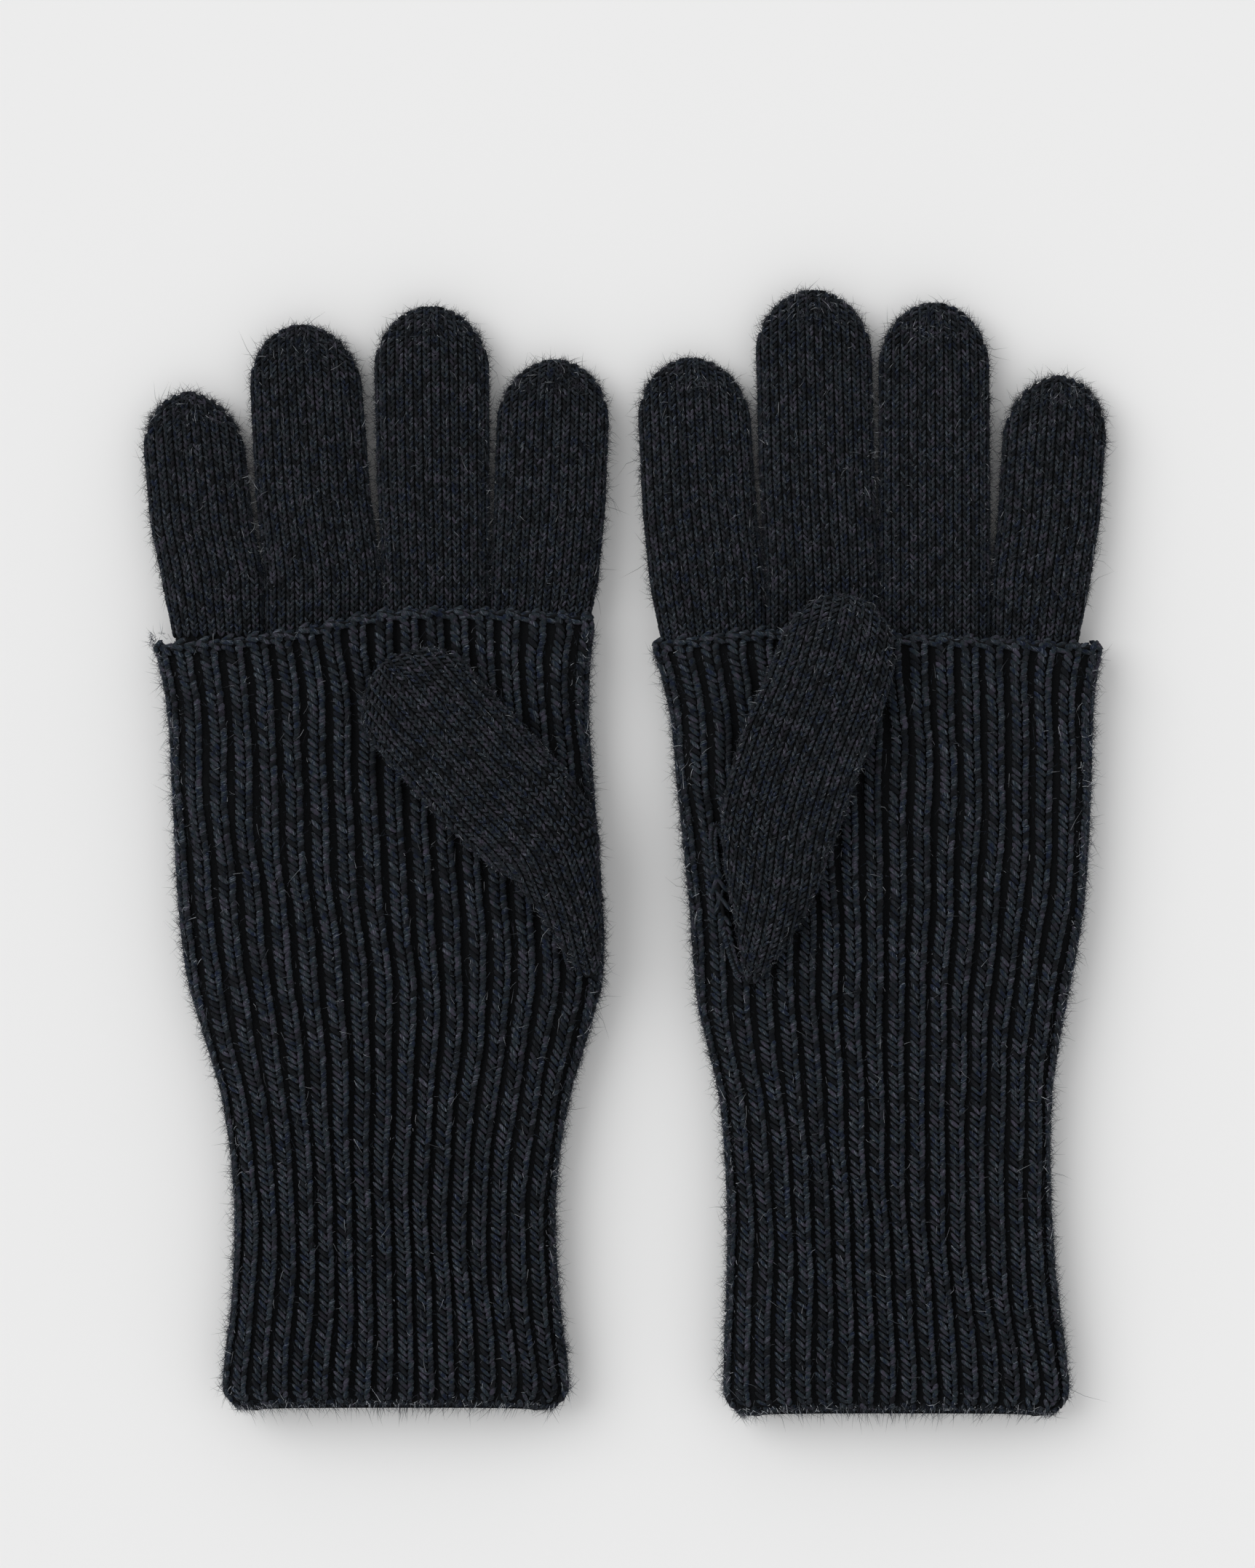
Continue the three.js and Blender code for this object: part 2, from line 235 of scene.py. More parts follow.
class Tube:
    """A flattened tube of fabric, given by its sections along a path and read at (row, share):
    share is 0 on the middle of the palm side, 1 or -1 on a side edge and 2 or -2 behind."""

    def __init__(self, centre, across, half, thick, power, row, tip=0.0):
        step = np.linalg.norm(np.diff(centre, axis=0), axis=1)
        along = np.concatenate([[0], np.cumsum(step)])
        if tip:
            d = np.clip(1 - (along[-1] - along) / tip, 0, 1)
            half = half * np.sqrt(np.clip(1 - d**2, 0.0009, 1))
            thick = thick * np.clip(1 - d**2.8, 0.0009, 1) ** (1 / 2.8)
        run = np.concatenate([[0], np.cumsum(np.hypot(step, np.diff(thick)))])
        self.count = max(2, int(run[-1] / row))
        at = np.linspace(0, run[-1], self.count + 1)
        pick = lambda v: np.stack([np.interp(at, run, c) for c in np.atleast_2d(v.T)], 1)
        self.centre, self.across = pick(centre), unit(pick(across))
        self.half, self.thick = pick(half)[:, 0], pick(thick)[:, 0]
        self.up = unit(np.cross(self.across, np.gradient(self.centre, axis=0)))
        self.power = power

    def _section(self, row, inset):
        row = np.clip(row, 0, self.count)
        i = np.minimum(row.astype(int), self.count - 1)
        f = row - i
        mix = lambda v: v[i] + (v[i + 1] - v[i]) * (f[:, None] if v.ndim > 1 else f)
        turn = np.linspace(0, math.pi / 2, 25)
        a = np.maximum(mix(self.half) - inset, 0.05)[:, None]
        b = np.maximum(mix(self.thick) - inset, 0.05)[:, None]
        x = a * np.sin(turn) ** (2 / self.power)
        z = b * np.cos(turn) ** (2 / self.power)
        length = np.concatenate(
            [np.zeros((len(row), 1)), np.cumsum(np.hypot(np.diff(x), np.diff(z)), axis=1)], axis=1)
        return mix, x, z, length

    def quarter(self, row):
        """A quarter of the way round at a row, in mm."""
        return self._section(np.atleast_1d(np.asarray(row, float)), 0)[3][:, -1]

    def point(self, row, share, inset=0.0):
        row, share, inset = np.broadcast_arrays(
            np.asarray(row, float), np.asarray(share, float), np.asarray(inset, float))
        share = (share + 2) % 4 - 2
        mix, x, z, length = self._section(row, inset)
        behind = np.abs(share) > 1
        s = np.where(behind, 2 - np.abs(share), np.abs(share)) * length[:, -1]
        k = np.clip((length[:, 1:] < s[:, None]).sum(1), 0, 23)
        n = np.arange(len(k))
        t = np.clip((s - length[n, k]) / np.maximum(length[n, k + 1] - length[n, k], 1e-9), 0, 1)
        px = (x[n, k] + (x[n, k + 1] - x[n, k]) * t) * np.where(share < 0, -1, 1)
        pz = (z[n, k] + (z[n, k + 1] - z[n, k]) * t) * np.where(behind, -1, 1)
        return mix(self.centre) + mix(self.across) * px[:, None] + mix(self.up) * pz[:, None]

    def frame(self, row, share, inset=0.0):
        along = unit(self.point(row + 0.5, share, inset) - self.point(row - 0.5, share, inset))
        across = unit(self.point(row, share + 0.02, inset) - self.point(row, share - 0.02, inset))
        out = unit(np.cross(across, along))
        return self.point(row, share, inset), along, unit(np.cross(along, out)), out


def laid(tube, row, share, pitch, row_mm, legs, tone=1.0, sink=0.0, short=1.0):
    """The legs of the stitches at (row, share): where each lies, which way it runs and its size."""
    quarter = tube.quarter(row)
    parts = []
    for offset, lean, roll, length, width, depth in legs:
        wide = np.broadcast_to(pitch, row.shape)
        at = share + offset * wide / quarter
        thick = wide * depth
        here, along, across, out = tube.frame(row, at, thick * 0.5 + sink)
        angle = np.radians(lean + rng.normal(0, 3.5, len(row)))[:, None]
        tilt = np.radians(roll + rng.normal(0, 4, len(row)))[:, None]
        run = along * np.cos(angle) + across * np.sin(angle)
        face = unit(out * np.cos(tilt) + across * np.sin(tilt))
        here = here + out * rng.normal(0, 0.05, len(row))[:, None]
        grow = 1 + rng.normal(0, 0.06, len(row))
        size = np.stack([wide * width * grow / short**0.5, thick,
                         np.broadcast_to(row_mm * length * short, row.shape)], 1) / 2
        shade = np.clip(tone * (0.66 + rng.normal(0, 0.34, len(row))), 0.1, 1)
        parts.append((here, run, face, size, shade))
    return [np.concatenate(p) for p in zip(*parts)]


def joined(*groups):
    return [np.concatenate(p) for p in zip(*groups)]


def mesh_object(name, points, faces, shade=0.0):
    mesh = bpy.data.meshes.new(name)
    mesh.from_pydata((points * MM).tolist(), [], [list(f) for f in faces])
    mesh.attributes.new("shade", "FLOAT", "POINT").data.foreach_set(
        "value", np.broadcast_to(np.asarray(shade, np.float32), len(points)).copy())
    mesh.attributes.new("yarn", "FLOAT_VECTOR", "POINT").data.foreach_set(
        "vector", (points * 1.6).astype(np.float32).ravel())
    thing = bpy.data.objects.new(name, mesh)
    bpy.context.scene.collection.objects.link(thing)
    return thing


def shell(outer, inner, keep=None):
    """A closed wall between two grids (rows by columns round): open at both ends, its rims joined."""
    rows, around = outer.shape[:2]
    keep = np.ones((rows - 1, around), bool) if keep is None else keep
    points = np.concatenate([outer.reshape(-1, 3), inner.reshape(-1, 3)])
    o = lambda r, c: r * around + c % around
    n = rows * around
    faces = []
    for r in range(rows - 1):
        for c in range(around):
            if not keep[r, c]:
                continue
            a, b, d, e = o(r, c), o(r, c + 1), o(r + 1, c + 1), o(r + 1, c)
            faces += [(a, b, d, e), (n + a, n + e, n + d, n + b)]
            if r == 0 or not keep[r - 1, c]:
                faces.append((a, n + a, n + b, b))
            if r == rows - 2 or not keep[r + 1, c]:
                faces.append((e, d, n + d, n + e))
            if not keep[r, (c - 1) % around]:
                faces.append((a, e, n + e, n + a))
            if not keep[r, (c + 1) % around]:
                faces.append((b, n + b, n + d, d))
    used = np.unique(np.concatenate([np.array(f) for f in faces]))
    place = np.full(len(points), -1)
    place[used] = np.arange(len(used))
    return points[used], [tuple(place[list(f)]) for f in faces]


def grid(tube, rows, shares, inset=0.0):
    r, s = np.meshgrid(rows, shares, indexing="ij")
    inset = np.broadcast_to(inset, r.shape)
    return tube.point(r.ravel(), s.ravel(), inset.ravel()).reshape(*r.shape, 3)


def capped(tube, rows, around, wall):
    """A stall: a tube with one open end and one closed by a point, hollow inside."""
    shares = np.linspace(-2, 2, around, endpoint=False)
    outer, inner = grid(tube, rows, shares, FINGER_GROUND), grid(tube, rows, shares, wall)
    points, faces = shell(outer, inner)
    # close the last ring of both walls instead of joining them
    n = len(rows) * around
    last = (len(rows) - 1) * around
    rim = {(last + c, last + (c + 1) % around) for c in range(around)}
    faces = [f for f in faces if not ((f[0], f[1]) in rim and f[2] >= n)]
    points = np.vstack([points, outer[-1].mean(0) + unit(np.gradient(tube.centre, axis=0)[-1]) * 0.1,
                        inner[-1].mean(0)])
    for c in range(around):
        a, b = last + c, last + (c + 1) % around
        faces += [(a, b, len(points) - 2), (n + b, n + a, len(points) - 1)]
    return points, faces


# Each stitch leg is a little leaf of yarn, set on a point with its run, its face and its size
def stitch_tree():
    tree = bpy.data.node_groups.new("lay the stitches", "GeometryNodeTree")
    face = tree.interface
    face.new_socket("Fabric", in_out="INPUT", socket_type="NodeSocketGeometry")
    for name, kind, value in (("Stitch points", "NodeSocketObject", None),
                              ("Loose fibre", "NodeSocketObject", None),
                              ("Wool", "NodeSocketMaterial", None),
                              ("Leaf sides", "NodeSocketInt", 5), ("Leaf rings", "NodeSocketInt", 4),
                              ("Fibre streaks", "NodeSocketFloat", 3.0)):
        socket = face.new_socket(name, in_out="INPUT", socket_type=kind)
        if value is not None:
            socket.default_value = value
    face.new_socket("Knitting", in_out="OUTPUT", socket_type="NodeSocketGeometry")
    given = add_node(tree, "NodeGroupInput").outputs
    leaf = add_node(tree, "GeometryNodeMeshUVSphere", Segments=given["Leaf sides"],
                    Rings=given["Leaf rings"], Radius=1.0)
    marks = {name: add_node(tree, "GeometryNodeInputNamedAttribute", {"data_type": "FLOAT_VECTOR"},
                            Name=name).outputs["Attribute"]
             for name in ("run", "face", "size", "leaf", "dye")}
    # a coordinate that runs along the yarn, twisted, and differs from leg to leg
    spot = add_node(tree, "GeometryNodeInputPosition").outputs[0]
    split = add_node(tree, "ShaderNodeSeparateXYZ", Vector=spot).outputs
    twist = add_node(tree, "ShaderNodeMath", {"operation": "MULTIPLY_ADD"}, _0=split["Z"], _1=1.6,
                     _2=split["X"])
    stretch = add_node(tree, "ShaderNodeMath", {"operation": "MULTIPLY"}, _0=twist.outputs[0],
                       _1=given["Fibre streaks"])
    streaky = add_node(tree, "ShaderNodeCombineXYZ", X=stretch.outputs[0], Y=split["Y"],
                       Z=add_node(tree, "ShaderNodeMath", {"operation": "MULTIPLY"}, _0=split["Z"],
                                  _1=0.5).outputs[0])
    marked = add_node(tree, "GeometryNodeStoreNamedAttribute", {"data_type": "FLOAT_VECTOR"},
                      Geometry=leaf.outputs["Mesh"], Name="leaf", Value=streaky.outputs[0])
    held = add_node(tree, "GeometryNodeObjectInfo", Object=given["Stitch points"])
    turn = add_node(tree, "FunctionNodeAxesToRotation", {"primary_axis": "Z", "secondary_axis": "Y"},
                    Primary_Axis=marks["run"], Secondary_Axis=marks["face"])
    laid_out = add_node(tree, "GeometryNodeInstanceOnPoints", Points=held.outputs["Geometry"],
                        Instance=marked.outputs[0], Rotation=turn.outputs[0],
                        Scale=marks["size"])
    real = add_node(tree, "GeometryNodeRealizeInstances", Geometry=laid_out.outputs[0])
    place = add_node(tree, "ShaderNodeVectorMath", {"operation": "ADD"},
                     _0=marks["leaf"], _1=marks["dye"])
    yarn = add_node(tree, "GeometryNodeStoreNamedAttribute", {"data_type": "FLOAT_VECTOR"},
                    Geometry=real.outputs[0], Name="yarn", Value=place.outputs[0])
    halo = add_node(tree, "GeometryNodeObjectInfo", Object=given["Loose fibre"])
    both = add_node(tree, "GeometryNodeJoinGeometry")
    for part in (given["Fabric"], halo.outputs["Geometry"], yarn.outputs[0]):
        tree.links.new(part, both.inputs[0])
    smooth = add_node(tree, "GeometryNodeSetShadeSmooth", Geometry=both.outputs[0])
    last = add_node(tree, "GeometryNodeRealizeInstances", Geometry=smooth.outputs[0])
    dressed = add_node(tree, "GeometryNodeSetMaterial", Geometry=last.outputs[0], Material=given["Wool"])
    add_node(tree, "NodeGroupOutput", Knitting=dressed.outputs[0])
    return tree


STITCHES = stitch_tree()


def point_cloud(name, legs):
    """The stitch points as loose vertices that carry the stitches' numbers."""
    here, run, face, size, shade = legs
    mesh = bpy.data.meshes.new(name)
    mesh.from_pydata((here * MM).tolist(), [], [])
    dye = rng.uniform(-40, 40, here.shape)
    for key, values in (("run", run), ("face", face), ("size", size * MM), ("dye", dye)):
        mesh.attributes.new(key, "FLOAT_VECTOR", "POINT").data.foreach_set(
            "vector", values.astype(np.float32).ravel())
    mesh.attributes.new("shade", "FLOAT", "POINT").data.foreach_set("value", shade.astype(np.float32))
    thing = bpy.data.objects.new(name, mesh)
    bpy.context.scene.collection.objects.link(thing)
    return thing


def loose_fibre(name, roots, out, run, length, lift, shade, thickness):
    """Fine fibres that stand off the yarn and curl over: three-sided, tapering to a point."""
    count = len(roots)
    aside = unit(np.cross(out, run) + rng.normal(0, 0.4, roots.shape))
    start = unit(out * lift[:, None] + run * rng.normal(0, 0.8, (count, 1))
                 + aside * rng.normal(0, 0.6, (count, 1)))
    bend = unit(run * rng.normal(0, 1, (count, 1)) + aside * rng.normal(0, 1, (count, 1))
                + out * rng.uniform(-0.5, 0.2, (count, 1)))
    side = unit(np.cross(start, bend))
    other = unit(np.cross(side, start))
    rings = []
    for t, r in ((0.0, 1.0), (0.5, 0.8)):
        middle = roots + start * (length * t)[:, None] + bend * (length * t * t * 0.8)[:, None]
        for a in (0.0, 2.094, 4.189):
            rings.append(middle + (side * math.cos(a) + other * math.sin(a)) * (thickness * r / 2)[:, None])
    end = roots + start * length[:, None] + bend * (length * 0.8)[:, None]
    points = np.stack(rings + [end], 1).reshape(-1, 3)
    points[:, 2] = np.maximum(points[:, 2], 0.04)      # none goes through the table
    pattern = [(0, 1, 2)] + [(i, 3 + i, 3 + (i + 1) % 3, (i + 1) % 3) for i in range(3)]
    pattern += [(3 + i, 6, 3 + (i + 1) % 3) for i in range(3)]
    faces = [tuple(7 * k + v for v in f) for k in range(count) for f in pattern]
    return mesh_object(name, points, faces, shade=np.repeat(shade, 7))


def fuzz(tube, name, ends, density, reach, spread, face=1000, tip=0, hem=0, pale=0.06):
    """Loose fibre: dense round the two side edges of a tube and round its closed tip or its hem,
    and lying close over its faces."""
    span = abs(tube.centre[int(ends[1]), 1] - tube.centre[int(ends[0]), 1])
    edge = int(density * span * 2)
    row = np.concatenate([rng.uniform(*ends, edge), tube.count - 0.4 - 7 * rng.random(tip) ** 0.5,
                          np.abs(rng.normal(0, 0.7, hem)), rng.uniform(*ends, face)])
    share = np.concatenate([np.where(rng.random(edge) < 0.5, -1, 1) + rng.normal(0, spread, edge),
                            rng.uniform(-2, 2, tip + hem), rng.uniform(-1, 1, face)])
    if hem:
        row[edge + tip:edge + tip + hem] += foot_row(share[edge + tip:edge + tip + hem]) + 0.3
    lies = np.arange(len(row)) >= edge + tip + hem
    here, along, _, out = tube.frame(row, share, np.where(lies, 0.1, 0.35))
    out = np.where(((row < 4.5) & (hem > 0))[:, None], unit(out * 0.5 - along), out)
    length = (0.35 + np.abs(rng.normal(0.5, 0.45, len(row)))) * reach
    length[rng.integers(0, edge, LONG_FIBRES)] *= 3.0
    # shades above 1 paint a fibre pale, painted light through and on it; pale is the share of the halo
    # painted so
    shade = np.where(lies, rng.choice([0.6, 1.0, 1.2, 1.6], len(row), p=[0.4, 0.36, 0.18, 0.06]),
                     rng.choice([0.8, 1.15, 1.9], len(row), p=[0.85 - pale, 0.15, pale]))
    return loose_fibre(name, here, out, along, length, np.where(lies, 0.3, 1.0), shade,
                       np.where(lies, LYING_FIBRE, HALO_FIBRE))


def knitted(name, fabric, legs, fibre, wool_kind, leaf=(5, 3)):
    """One finished piece: the fabric's ground, its stitches and its loose fibre as a plain mesh."""
    # the ground takes shade 0 and so the near-black ground colour, painted shade between the stitches
    thing = mesh_object(name, *fabric, shade=0.0)
    points = point_cloud(name + " stitch points", legs)
    modifier = thing.modifiers.new("stitches", "NODES")
    modifier.node_group = STITCHES
    keys = {item.name: item.identifier for item in STITCHES.interface.items_tree
            if item.in_out == "INPUT"}
    modifier[keys["Stitch points"]] = points
    modifier[keys["Loose fibre"]] = fibre
    modifier[keys["Wool"]] = wool_kind
    modifier[keys["Leaf sides"]], modifier[keys["Leaf rings"]] = leaf
    bpy.context.view_layer.update()
    ready = bpy.data.meshes.new_from_object(
        thing.evaluated_get(bpy.context.evaluated_depsgraph_get()))
    thing.modifiers.clear()
    thing.data = ready
    for key in ("run", "face", "size", "dye", "leaf"):
        if key in ready.attributes:
            ready.attributes.remove(ready.attributes[key])
    for helper in (points, fibre):
        if helper is not None:
            bpy.data.objects.remove(helper)
    return thing


def plain_rows(tube, first, last, shoulder):
    """Stitch places on a stall: whole wales up to the shoulder, dropped one by one round the tip."""
    rows, shares = [], []
    quarter = tube.quarter(np.arange(tube.count + 1.0))
    wales = max(2, round(quarter[shoulder] / WALE))
    for row in range(first, last):
        pitch = quarter[min(row, shoulder)] / wales
        places = (np.arange(wales) + 0.5) * pitch
        places = places[places < quarter[row] - 0.2 * pitch] / quarter[row]
        around = np.concatenate([places, -places, 2 - places, places - 2])
        rows.append(np.full(len(around), float(row)))
        shares.append(around)
    return np.concatenate(rows), np.concatenate(shares)


def finger_piece(hand, finger):
    node = f"{hand}_{finger}"
    low, high = low_high(node)
    shoulder = high[1] - FINGER_TIP
    bottom = low_high(f"{hand}_glove_hand")[0][2]
    y = np.linspace(low[1] - FINGER_ROOT, high[1], 260)
    seen = np.clip(y, low[1] + 0.5, shoulder)
    left, right = sides([node], seen)
    # the outer edges of the hand draw in below the outermost fingers
    draw = 0.2 * np.clip(low[1] - y, 0, 16)
    left_is_outer = (finger == "little_finger") == (hand == "right")
    if finger in ("little_finger", "index_finger"):
        left, right = (left + draw, right) if left_is_outer else (left, right - draw)
    middle, half = (left + right) / 2, (right - left) / 2
    slope = (middle[y < shoulder][-1] - middle[y < shoulder][-20]) / (y[19] - y[0])
    middle = middle + slope * np.maximum(y - shoulder, 0)
    top = high[2]
    thick = (top - bottom) / 2
    dip = (bottom - low[2]) * np.clip((y - low[1]) / (high[1] - low[1]), 0, 1)
    centre = np.stack([middle, y, top - thick - dip], 1)
    across = np.tile([1.0, 0, 0], (len(y), 1))
    # the stall is plumpest a little way up and flattens at its foot
    plump = thick * np.interp(y, [low[1] - 20, low[1] + 8, low[1] + 30, high[1]], [0.9, 0.97, 1.0, 0.97])
    half = half + np.interp(y, [low[1], shoulder], [0.45, -0.05])
    tube = Tube(centre, across, half, plump, GLOVE_POWER, PLAIN_ROW, FINGER_TIP)
    ys = tube.centre[:, 1]
    first = int(np.searchsorted(ys, low[1] - 14))
    row, share = plain_rows(tube, first, tube.count, int(np.searchsorted(ys, shoulder)))
    pitch = tube.quarter(np.minimum(row, np.searchsorted(ys, shoulder))) / round(
        tube.quarter(float(np.searchsorted(ys, shoulder)))[0] / WALE)
    legs = laid(tube, row, share, pitch, PLAIN_ROW, PLAIN_LEGS)
    rows = np.unique(np.concatenate([np.arange(0, tube.count, 3), np.arange(tube.count - 8, tube.count + 1)]))
    fabric = capped(tube, rows.astype(float), 40, GLOVE_WALL)
    fibre = fuzz(tube, node + " fibre", (first + 6, tube.count - 0.2), 14, 1.8, 0.12, face=500, tip=900)
    piece = knitted(node + "_knit", fabric, legs, fibre, PLAIN_WOOL)
    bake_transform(piece)
    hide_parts(node)


def thumb_piece(hand):
    node = f"{hand}_thumb"
    hem = low_high(f"{hand}_sleeve_hem")
    side = 1 if hand == "right" else -1
    middle_x, hem_y = (hem[0][0] + hem[1][0]) / 2, hem[0][1]
    line = eased(THUMBS[hand])
    centre = np.stack([middle_x + side * line[:, 0], hem_y + line[:, 1], line[:, 2]], 1)
    run = unit(np.gradient(centre, axis=0) * [1, 1, 0])
    across = np.stack([run[:, 1], -run[:, 0], np.zeros(len(run))], 1)
    across[:, 2] = -side * line[:, 5]
    tube = Tube(centre, unit(across), line[:, 3], line[:, 4], GLOVE_POWER, PLAIN_ROW, THUMB_TIP)
    rows, shares = [], []
    quarter = tube.quarter(np.arange(tube.count + 1.0))
    for r in range(1, tube.count):
        places = (np.arange(9) + 0.5) * WALE
        places = places[places < quarter[r] - 0.2 * WALE] / quarter[r]
        around = np.concatenate([places, -places, 2 - places, places - 2])
        rows.append(np.full(len(around), float(r)))
        shares.append(around)
    row, share = np.concatenate(rows), np.concatenate(shares)
    legs = laid(tube, row, share, WALE, PLAIN_ROW, PLAIN_LEGS)
    fabric = capped(tube, np.arange(0, tube.count + 1, 1.0), 44, GLOVE_WALL)
    fibre = fuzz(tube, node + " fibre", (2, tube.count - 0.2), 9, 1.2, 0.14, face=900, tip=300)
    piece = knitted(node + "_knit", fabric, legs, fibre, PLAIN_WOOL)
    joint = next(j for j in frame["joints"] if j["name"] == f"{hand}_thumb_unfold")
    axis = unit(np.array(joint["axis"], float))
    inward = unit(np.cross(axis, [0, 0, 1.0])) * (-1 if hand == "right" else 1)
    if inward[0] * side > 0:
        inward = -inward
    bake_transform(piece)
    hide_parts(node)


def sleeve_tube(hand):
    hem = low_high(f"{hand}_sleeve_hem")
    band = low_high(f"{hand}_sleeve_top_edge")
    y = np.linspace(hem[0][1], band[1][1], 240)
    body = low_high(f"{hand}_sleeve")
    nodes = [f"{hand}_{part}" for part in ("sleeve_hem", "sleeve", "sleeve_top_edge")]
    left, right = sides(nodes, np.clip(y, y[0] + 0.3, band[0][1] + 4))
    smooth = np.ones(9) / 9
    ease = lambda v: np.convolve(np.pad(v, 4, mode="edge"), smooth, "valid")
    left, right = ease(left), ease(right)
    thick = (body[1][2] - body[0][2]) / 2
    centre = np.stack([(left + right) / 2, y, np.full(len(y), thick)], 1)
    across = np.tile([1.0, 0, 0], (len(y), 1))
    plump = thick * np.interp(y, [y[0], y[0] + 5, y[-1] - 8, y[-1]], [0.88, 1.0, 1.0, 0.93])
    corner = HEM_CORNER * (1 - np.sqrt(1 - np.clip(1 - (y - y[0]) / HEM_CORNER, 0, 1) ** 2))
    flare = EDGE_FLARE * np.exp(-((y - y[-1] + 5) / 4) ** 2)
    return Tube(centre, across, (right - left) / 2 - corner + flare, plump, SLEEVE_POWER, 1.0)


def edge_height(hand, share, tube):
    """The row at which the sleeve's open edge stands, for each place round the sleeve."""
    here = tube.point(np.full(len(share), tube.count - 6.0), share)
    low, high = low_high(f"{hand}_sleeve_top_edge")
    xs = np.linspace(low[0] + 0.5, high[0] - 0.5, 60)
    _, top = sides([f"{hand}_sleeve_top_edge"], xs, axis=0, across=1)
    y = np.interp(here[:, 0], xs, top)
    return np.interp(y, tube.centre[:, 1], np.arange(tube.count + 1.0))


def foot_row(share):
    """Where the hem stands: the palm side is cut a little shorter than the back between its corners."""
    return 0.3 + 2.3 * np.clip(1 - share**4, 0, 1)


def slit_of(hand):
    low, high = low_high(f"{hand}_thumb_slit_binding")
    joint = next(j for j in frame["joints"] if j["name"] == f"{hand}_thumb_unfold")
    axis = unit(np.array(joint["axis"], float))
    axis = axis * np.sign(axis[1])
    outward = np.array([axis[1], -axis[0], 0]) * (1 if hand == "right" else -1)
    out, up = SLIT_SHIFT[hand]
    return (low + high) / 2 + outward * out + axis * up, axis


def sleeve_pieces(hand):
    tube = sleeve_tube(hand)
    middle, axis = slit_of(hand)
    aside = np.array([axis[1], -axis[0], 0])
    in_slit = lambda p: ((((p - middle) @ axis) / SLIT_HALF) ** 4
                         + (((p - middle) @ aside) / (SLIT_WIDTH / 2)) ** 2 < 1) & (p[..., 2] > 9)

    # columns of ribs, each with its own phase and a slight wander
    ribs = (np.arange(4 * RIBS) + 0.5) / RIBS - 2
    top = edge_height(hand, ribs, tube)
    count = int(tube.count / RIB_ROW)
    rows, shares, column = [], [], []
    for i, share in enumerate(ribs):
        foot = foot_row(share)
        j = np.arange(count) + rng.uniform(0.2, 0.8)
        wander = 0.009 * np.sin(0.13 * j + 2.6 * share) + 0.004 * np.sin(0.31 * j + 9 * share)
        rows.append(foot + 0.25 + j * (top[i] - 1.5 - foot) / count)
        shares.append(share + wander + rng.normal(0, 0.0015, count))
        column.append(np.full(count, i))
    row, share, column = np.concatenate(rows), np.concatenate(shares), np.concatenate(column)
    tone = (1 + rng.normal(0, 0.09, 4 * RIBS))[column]
    pitch = tube.quarter(row) / RIBS
    # the ends of the ribs roll inwards
    sink = (1.0 * np.exp(-(row - 0.6 - foot_row((share + 2) % 4 - 2)) / 1.1)
            + 0.8 * np.exp(-(top[column] - row) / 1.4))
    keep = ~in_slit(tube.point(row, share))
    # and their last stitches are short and round
    short = 0.5 + 0.5 * np.clip(np.minimum(row - foot_row((share + 2) % 4 - 2) - 0.6, top[column] - row - 1.2)
                                / 3, 0, 1)
    row, share, tone, pitch, sink, short = (v[keep] for v in (row, share, tone, pitch, sink, short))

    # the ground: furrows between the ribs outside, smooth inside
    around = 4 * RIBS * 5
    shares_g = np.arange(around) / (RIBS * 5) - 2
    phase = np.cos((shares_g * RIBS - 0.5) * 2 * math.pi)
    inset = 1.15 + (RIB_DEPTH - 1.15) * np.clip(0.5 - 0.75 * phase, 0, 1)
    top_g = edge_height(hand, shares_g, tube)
    near = (middle[1] - tube.centre[0, 1]) / (tube.centre[-1, 1] - tube.centre[0, 1])
    levels = np.interp(np.linspace(0, 1, 90), [0, 0.08, 0.30, 0.72, 1],
                       [0, 0.035, near - 0.105, near + 0.105, 1])
    foot_g = foot_row(shares_g) + 0.1
    r = foot_g[None] + levels[:, None] * (top_g - 1.2 - foot_g)[None]
    s = np.broadcast_to(shares_g, r.shape)
    outer = tube.point(r.ravel(), s.ravel(), np.broadcast_to(inset, r.shape).ravel()).reshape(*r.shape, 3)
    inner = tube.point(r.ravel(), s.ravel(), SLEEVE_WALL).reshape(*r.shape, 3)
    centres = (outer[:-1] + outer[1:]) / 2
    keep_g = ~in_slit(centres)

    def part(name, wanted, fabric, nodes):
        legs = laid(tube, row[wanted], share[wanted], pitch[wanted], RIB_ROW, RIB_LEGS,
                    tone=tone[wanted], sink=sink[wanted], short=short[wanted])
        piece = knitted(name, fabric, legs, None, RIB_WOOL, (5, 4))
        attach(piece, f"{hand}_sleeve")
        if nodes:
            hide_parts(*nodes)
        return piece

    palm = np.abs((share + 2) % 4 - 2) < 1
    above = row > HEM_TOP
    shaded_ground = shell(outer, inner, keep_g)
    nothing = (np.zeros((0, 3)), [])
    part(f"{hand}_sleeve_palm_knit", above & palm, nothing, [])
    part(f"{hand}_sleeve_back_knit", above & ~palm, shaded_ground, [f"{hand}_sleeve"])
    part(f"{hand}_sleeve_hem_knit", ~above, nothing, [f"{hand}_sleeve_hem"])
    halo = fuzz(tube, f"{hand}_sleeve_loose_fibre", (4, tube.count - 6), 20, 1.9, 0.06, face=3000, hem=1900,
                pale=0.12)
    halo.data.materials.append(RIB_WOOL)
    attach(halo, f"{hand}_sleeve")

    # the bound-off edge round the knuckles: a chain of flat loops
    edge_share = np.linspace(-2, 2, 4 * RIBS * 3, endpoint=False) + 0.01
    edge_row = edge_height(hand, edge_share, tube) - 1.0
    chain(tube, edge_row, edge_share, f"{hand}_sleeve_top_edge", hand)
